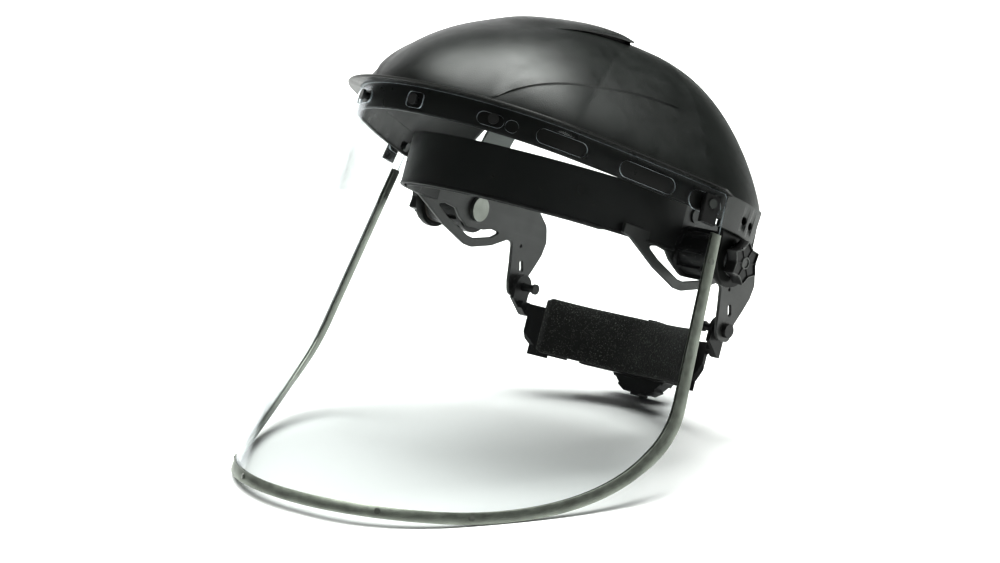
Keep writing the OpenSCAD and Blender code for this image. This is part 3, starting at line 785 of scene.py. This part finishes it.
def star(inset):
    """Outline of the tilt knob: sharp points with hollow sides between them."""
    out, n = [], 16
    for i in range(STAR_TIPS * n):
        u = abs((i % n) / (n / 2) - 1)
        r = STAR_DIP + (STAR_TIP - STAR_DIP) * u ** 1.8 - inset
        a = i / n * 2 * math.pi / STAR_TIPS + STAR_PHASE
        out.append((r * math.cos(a), r * math.sin(a)))
    return out


def knob_shape():
    """Star knob along +z: hollow-sided body, raised border, sunk face with ribs, ring in the middle."""
    side = [(0.6, KNOB_IN), (0.0, KNOB_IN + 0.6), (0.0, KNOB_OUT - 0.4)]
    border = [(0.15, KNOB_OUT - 0.12), (0.4, KNOB_OUT), (0.75, KNOB_OUT)]
    drop = [(0.95, KNOB_OUT - 0.12), (1.05, KNOB_FLOOR)]
    rings = [[(*p, z) for p in star(inset)] for inset, z in side + border + drop]
    rings.insert(0, [(x * 0.5, y * 0.5, KNOB_IN) for x, y, _ in rings[0]])
    rings.append([(x * 0.2, y * 0.2, KNOB_FLOOR) for x, y, _ in rings[-1]])
    shape = Shape().sweep(rings)
    around = len(rings[0])
    first, last = len(side) * around, (len(side) + len(border)) * around
    # The raised border and the middle ring take the second material, painted lighter as a highlight.
    shape.marks[first:last] = [1] * (last - first)
    low, high = KNOB_FLOOR - SINK, KNOB_OUT - 0.15
    ring = [(RING_OUT, low), (RING_OUT, high - 0.2), (RING_OUT - 0.2, high), (RING_IN + 0.2, high),
            (RING_IN, high - 0.2), (RING_IN, KNOB_FLOOR + 0.1)]
    shape.merge(lathe([(0.01, low), *ring, (0.01, KNOB_FLOOR + 0.1)], 36), mark=1)
    for i in range(STAR_TIPS):
        outline = rounded(box(RING_OUT - SINK, -SPOKE_HALF, SPOKE_END, SPOKE_HALF), 0.2)
        spoke = plate(outline, [], low, KNOB_OUT - 0.4, 0.1)
        bearing = STAR_PHASE + math.pi * (2 * i + 1) / STAR_TIPS
        shape.merge(spoke, Matrix.Rotation(bearing, 4, "Z"))
    return shape


def make_tilt_knobs():
    for name, mirror in (("left", Matrix.Identity(4)), ("right", MIRROR)):
        build("star_knob_" + name, knob_shape(), HEAD @ mirror @ TO_X, [KNOB_BLACK, KNOB_HIGHLIGHT],
              "tilt_knob_" + name, ["tilt_knob_" + name], crease=34)


# ---------------------------------------------------------------- headband
BAND_Y, BAND_A, BAND_B = -20, 78, 105          # middle of the brow band's half ellipse and its radii
BAND_LOW, BAND_TOP, BAND_T = -2.5, 26.5, 2
PLATE_IN, PLATE_OUT = 75, 77
PIP_BEARINGS = (-34, 20, 38, 57)


def band_point(a, inset):
    return ((BAND_A - inset) * math.sin(a), BAND_Y - (BAND_B - inset) * math.cos(a))


def brow_band_shape():
    """Half ellipse of strap with a hem that stands out below, run back straight at both ends."""
    lo, hi = BAND_LOW, BAND_TOP
    section = [(-0.05, lo + 1.6), (-0.35, lo + 1.3), (-0.35, lo + 0.3), (0.1, lo), (BAND_T - 0.3, lo),
               (BAND_T, lo + 0.3), (BAND_T, hi - 0.3), (BAND_T - 0.3, hi), (0.3, hi), (0, hi - 0.3)]

    def ring(a, back=0.0):
        return [(band_point(a, i)[0], band_point(a, i)[1] + back, z) for i, z in section]
    end = math.pi / 2
    return Shape().sweep([ring(-end, 8), ring(-end, 4), *[ring(a) for a in steps(-end, end, 120)],
                          ring(end, 4), ring(end, 8)])


def side_plate_shape():
    """Side plate, arm and strut of the headband in y and z, with their holes."""
    corners = [   # y, z and the corner's radius: the plate's top, then round the arm and back by the strut
        (-34, BAND_TOP, 1), (-14, BAND_TOP, 3), (12, 25.5, 3), (17, 20, 3), (30, 17, 3), (56, 9.5, 8),
        (65, 3, 6), (68.5, -6, 6), (67, -14, 6), (62.5, -23, 8), (58, -31, 5), (58, -41.5, 5.5),
        (46, -41.5, 5.5), (43, -34, 6), (41, -24, 5), (38, -12, 4), (33, -11.5, 3), (20, -17.5, 4),
        (3, -21.8, 5), (-4, -21.5, 5), (-26, -14.5, 4), (-43, -7, 4), (-53, -2.6, 3), (-60, -1.5, 1),
        (-60, 4, 1), (-45, 4, 1), (-34, 4, 1)]
    outline = rounded([(y, z) for y, z, _ in corners], [r for _, _, r in corners])
    opening = rounded([(-36, -4), (-24, -9.5), (-3, -16.2), (3, -16.6), (18, -13), (25, -9), (17, -8.5),
                       (9, -10.5), (-6, -11.5), (-14, -7.5), (-19, -3.5), (-28, -2.5)], 1.6)
    oval = rounded([(48.5, -21), (51, -20.2), (53.5, -26), (51, -27.2)], 1.3)
    holes = [opening, circle(52, -35, 2.3), circle(46, -12.5, 0.9), oval, circle(0, 0, 3.0)]
    return plate(outline, holes, PLATE_IN, PLATE_OUT, 0.35)


def pip_at(bearing):
    """Matrix of a pip on the band's face: its place and its z along the face's outward normal."""
    x, y = band_point(bearing, 0)
    outward = Vector((math.sin(bearing) / BAND_A, -math.cos(bearing) / BAND_B, 0)).normalized()
    return Matrix.Translation((x, y, BAND_LOW + 12)) @ outward.to_track_quat("Z", "Y").to_matrix().to_4x4()


def make_headband():
    shape, side = brow_band_shape(), side_plate_shape()
    rib = plate(rounded(box(-15.6, -2, -14.2, 26), 0.4), [], PLATE_OUT - 0.4, PLATE_OUT + 0.9, 0.3)
    for mirror in (Matrix.Identity(4), MIRROR):
        shape.merge(side, mirror @ TO_X, mark=1)
        shape.merge(rib, mirror @ TO_X)
    pip = lathe([(0.01, 0.0), (0.75, 0.0), (0.7, 0.35), (0.3, 0.55), (0.01, 0.55)], 16)
    for bearing in PIP_BEARINGS:
        shape.merge(pip, pip_at(math.radians(bearing)))
    build("head_harness", shape, HEAD, [BAND_BLACK, ARM_BLACK], "head", ["headband"],
          crease=34)


# ---------------------------------------------------------------- soft pads
PUFF_FRAMES, PUFF_PRESSURE, PUFF_CAP = 14, 2.5, 0.8
BROW_REACH, NAPE_REACH = math.radians(66), math.radians(31.6)
NAPE_Y, NAPE_R = -32, 110
NAPE_Z, NAPE_H = -53.5, 33


def strip_rings(reach, n, point, section):
    """Rings of a strip that follows point(angle, inset) from one end of its reach to the other."""
    return [[(*point(a, i), z) for i, z in section(a)] for a in steps(-reach, reach, n)]


def pad_section(inset_out, inset_in, low, high, bulge, a, reach):
    """Cushion section: flat against the band, crowned on the head's side, drawn in at both ends."""
    fade = ease(0, 0.06, 1 - abs(a) / reach)
    mid, half = (low + high) / 2, (high - low) / 2 * (0.9 + 0.1 * fade)
    depth = (inset_in - inset_out) * (0.45 + 0.55 * fade)
    pts = []
    for i in range(24):
        t = 2 * math.pi * i / 24
        c, k = math.cos(t), math.sin(t)
        z = mid + half * math.copysign(abs(k) ** 0.45, k)
        d = 0.5 - 0.5 * math.copysign(abs(c) ** 0.55, c)
        puff = bulge * (1 - ((z - mid) / half) ** 2) if c < 0 else 0
        pts.append((inset_out + depth * d + puff * fade, z))
    return pts


def puff_up(obj):
    """Swells a pad by a short cloth simulation and keeps each point within a cap."""
    scene = bpy.context.scene
    rest = np.array([v.co for v in obj.data.vertices])
    cloth = obj.modifiers.new("puff", "CLOTH")
    settings = cloth.settings
    settings.quality = 4
    settings.mass = 0.2
    settings.use_pressure = True
    settings.uniform_pressure_force = PUFF_PRESSURE
    settings.tension_stiffness = settings.compression_stiffness = 12
    settings.bending_stiffness = 4
    settings.effector_weights.gravity = 0
    cloth.collision_settings.use_collision = False
    cloth.point_cache.frame_start, cloth.point_cache.frame_end = 1, PUFF_FRAMES
    for f in range(1, PUFF_FRAMES + 1):
        scene.frame_set(f)
    deps = bpy.context.evaluated_depsgraph_get()
    moved = np.array([v.co for v in obj.evaluated_get(deps).data.vertices])
    scene.frame_set(1)
    obj.modifiers.clear()
    shift = moved - rest
    far = np.linalg.norm(shift, axis=1, keepdims=True)
    shift *= np.minimum(1, PUFF_CAP * MM / np.maximum(far, 1e-9))
    obj.data.vertices.foreach_set("co", (rest + shift).ravel())
    obj.data.update()


def make_brow_pad():
    rings = strip_rings(BROW_REACH, 110, band_point, lambda a: pad_section(
        2.6, 6.4, BAND_LOW - 0.6, BAND_TOP - 0.9, 0.5, a, BROW_REACH))
    pad = build("brow_cushion", Shape().sweep(rings), HEAD, [KNIT], crease=0)
    puff_up(pad)
    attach(pad, "head")
    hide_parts("brow_pad")


def nape_point(a, inset):
    r = NAPE_R - inset
    return (r * math.sin(a), NAPE_Y + r * math.cos(a))


def make_nape_pad():
    low, high = NAPE_Z - NAPE_H / 2 + 0.5, NAPE_Z + NAPE_H / 2 - 0.5
    rings = strip_rings(NAPE_REACH, 90, nape_point, lambda a: pad_section(
        5.0, 9.6, low, high, 0.7, a, NAPE_REACH))
    pad = build("nape_cushion", Shape().sweep(rings), HEAD, [LOOPS], crease=0)
    puff_up(pad)
    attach(pad, "ratchet")
    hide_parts("nape_pad")


# ---------------------------------------------------------------- finishes of the carried-over CAD nodes
FINISHES = {   # material and the width in mm of the bevel on its edges
    "binding_rivets": (RIVET, 0.25), "window_studs": (STUD_BLACK, 0.3), "latch_pins": (BUTTON_DARK, 0.3),
    "latch_left": (STUD_BLACK, 0.5), "latch_right": (STUD_BLACK, 0.5), "knob_washers": (STEEL, 0.2),
    "knob_insert_left": (BRASS, 0.3), "knob_insert_right": (BRASS, 0.3),
    "pivot_hub_left": (HUB_BLACK, 0.5), "pivot_hub_right": (HUB_BLACK, 0.5),
    "pivot_bolt_left": (RIVET, 0.3), "pivot_bolt_right": (RIVET, 0.3), "friction_washers": (FIBRE, 0.2),
    "overhead_strap_left": (STRAP_GREY, 0.3), "overhead_strap_right": (STRAP_GREY, 0.3),
    "overhead_button": (BUTTON_DARK, 0.4), "band_rivets": (BAND_BLACK, 0.3), "nape_pins": (NAPE_BLACK, 0.5),
    "nape_strap_left": (NAPE_BLACK, 0.35), "nape_strap_right": (NAPE_BLACK, 0.35),
    "ratchet_housing": (NAPE_BLACK, 0.5), "ratchet_cover": (NAPE_BLACK, 0.5), "housing_screws": (STEEL, 0.2),
    "size_knob": (KNOB_BLACK, 0.8), "ratchet_pinion": (NAPE_BLACK, 0.2), "detent_spring": (SPRING, 0.15),
    "knob_screw": (STEEL, 0.3),
}


def finish_nodes():
    for name, (material, edge) in FINISHES.items():
        obj = frame["nodes"][name]
        obj.data.materials.clear()
        obj.data.materials.append(material)
        obj.data.shade_smooth()
        obj.data.set_sharp_from_angle(angle=math.radians(30))
        bevel(obj, edge)


# ---------------------------------------------------------------- stage, lights, camera
FLOOR_HALF = 9
FACE_MIDDLE = (0, 0.03, 0.15)
LIGHT_GREEN = (0.975, 1, 0.975)
VIEW_AZIMUTH, VIEW_ELEVATION, VIEW_DISTANCE = math.radians(40.5), math.radians(14.6), 2.5
VIEW_AIM = Vector((0.0499, -0.0468, 0.1138))
LENS, SENSOR = 169.07, 36


def make_stage():
    mesh = bpy.data.meshes.new("floor")
    mesh.from_pydata([(*p, 0) for p in box(-FLOOR_HALF, -FLOOR_HALF, FLOOR_HALF, FLOOR_HALF)], [],
                     [(0, 1, 2, 3)])
    floor = bpy.data.objects.new("floor", mesh)
    bpy.context.scene.collection.objects.link(floor)
    m, _, bsdf, _ = nodes_of("floor_white")
    bsdf.inputs["Base Color"].default_value = (0.93, 0.93, 0.93, 1)
    bsdf.inputs["Roughness"].default_value = 0.75
    bsdf.inputs["Specular IOR Level"].default_value = 0.2
    mesh.materials.append(m)


def light(name, kind, colour, energy, toward):
    """A light that shines along a direction."""
    data = bpy.data.lights.new(name, kind)
    data.color, data.energy = colour, energy
    obj = bpy.data.objects.new(name, data)
    bpy.context.scene.collection.objects.link(obj)
    obj.rotation_mode = "QUATERNION"
    obj.rotation_quaternion = toward.to_track_quat("-Z", "Y")
    return obj


def area_light(name, at, size, power, colour=(1, 1, 1)):
    """A rectangle of light aimed at the object, which the camera doesn't see."""
    obj = light(name, "AREA", colour, power, Vector(FACE_MIDDLE) - Vector(at))
    obj.data.shape, obj.data.size, obj.data.size_y = "RECTANGLE", *size
    obj.location = at
    obj.visible_camera = False


def make_surroundings():
    """A dim room that the camera sees as plain white."""
    world = bpy.data.worlds.new("studio")
    bpy.context.scene.world = world
    world.use_nodes = True
    tree = world.node_tree
    dim = tree.nodes["Background"]
    dim.inputs["Color"].default_value = (0.96, 1, 0.97, 1)
    dim.inputs["Strength"].default_value = 0.05
    seen = node(tree, "ShaderNodeBackground", {"Color": (1, 1, 1, 1), "Strength": 1.1})
    path = node(tree, "ShaderNodeLightPath")
    mix = node(tree, "ShaderNodeMixShader", {0: path.outputs["Is Camera Ray"],
                                             1: dim.outputs["Background"],
                                             2: seen.outputs["Background"]})
    tree.links.new(mix.outputs["Shader"], tree.nodes["World Output"].inputs["Surface"])


def make_light():
    view = bpy.context.scene.view_settings
    view.view_transform = "Standard"
    view.gamma, view.exposure = 0.8, 0.2
    make_surroundings()
    softbox = light("softbox", "SUN", LIGHT_GREEN, 4.2, Vector((0.2, 0.1, -0.95)))
    softbox.data.angle = math.radians(54)
    area_light("left", at=(-2.2, 1.4, 0.8), size=(2.4, 1.4), power=12)
    area_light("top", at=(0.3, 1.3, 2.6), size=(1.6, 1.3), power=66, colour=LIGHT_GREEN)


def make_camera():
    scene = bpy.context.scene
    data = bpy.data.cameras.new("camera")
    camera = bpy.data.objects.new("camera", data)
    scene.collection.objects.link(camera)
    level = math.cos(VIEW_ELEVATION)
    back = Vector((math.sin(VIEW_AZIMUTH) * level, -math.cos(VIEW_AZIMUTH) * level,
                   math.sin(VIEW_ELEVATION)))
    camera.location = VIEW_AIM + back * VIEW_DISTANCE
    camera.rotation_mode = "QUATERNION"
    camera.rotation_quaternion = (-back).to_track_quat("-Z", "Y")
    data.lens, data.sensor_width = LENS, SENSOR
    data.clip_start, data.clip_end = 0.1, 50
    scene.camera = camera


make_crown()
make_window()
make_binding()
make_tilt_knobs()
make_headband()
make_brow_pad()
make_nape_pad()
finish_nodes()
make_stage()
make_light()
make_camera()
